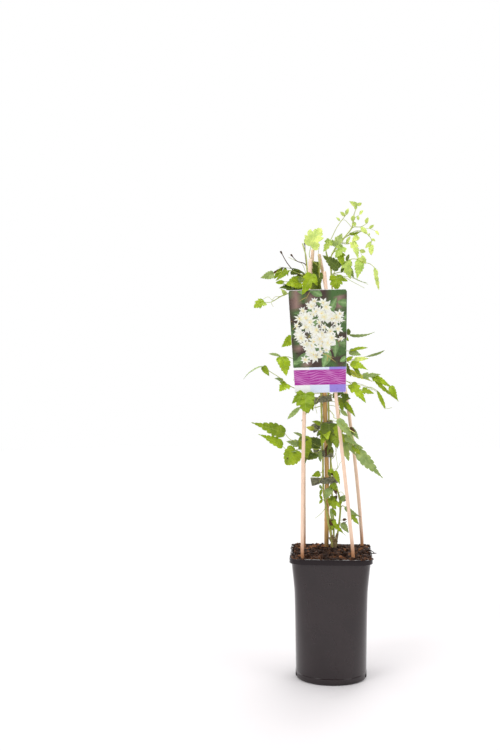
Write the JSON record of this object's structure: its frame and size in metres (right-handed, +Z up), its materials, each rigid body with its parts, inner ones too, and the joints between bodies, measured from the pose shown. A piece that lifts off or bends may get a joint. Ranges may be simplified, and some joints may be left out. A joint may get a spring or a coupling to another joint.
{
  "type": "potted climbing clematis plant",
  "caption": "Young climbing clematis in leaf, in a deep square-to-round nursery pot, tied to a centre cane inside a tepee of thin canes, with a picture card on the front.",
  "frame": {"origin": "middle of the pot's flat foot, on the surface it stands on", "axes": "+Z up, +Y to the back, +X to the right as seen from the front, where the card is"},
  "size_m": [0.2635, 0.1501, 0.8154],
  "materials": {
    "pot_plastic": "thin charcoal nursery-pot plastic with a soft satin sheen",
    "peat": "moist dark brown peat with coarse fibres and crumbs",
    "pale_cane": "smooth pale peeled wood",
    "bamboo": "golden brown bamboo with darker joints",
    "card": "printed plastic card, glossy",
    "tape": "thin dark grey tape, crinkled",
    "foliage": "soft green leaf, slightly waxy above and paler below"
  },
  "bodies": {
    "root": {"pot": "pot_plastic", "soil": "peat", "cane_front_left": "pale_cane", "cane_front_right": "pale_cane", "cane_back_left": "pale_cane", "cane_back_right": "pale_cane", "cane_centre": "bamboo", "label": "card", "tie_1": "tape", "tie_2": "tape", "tie_3": "tape", "tie_4": "tape", "vine_left": "foliage", "vine_middle": "foliage", "vine_right": "foliage", "vine_top": "foliage", "vine_back": "foliage"}
  },
  "joints": []
}
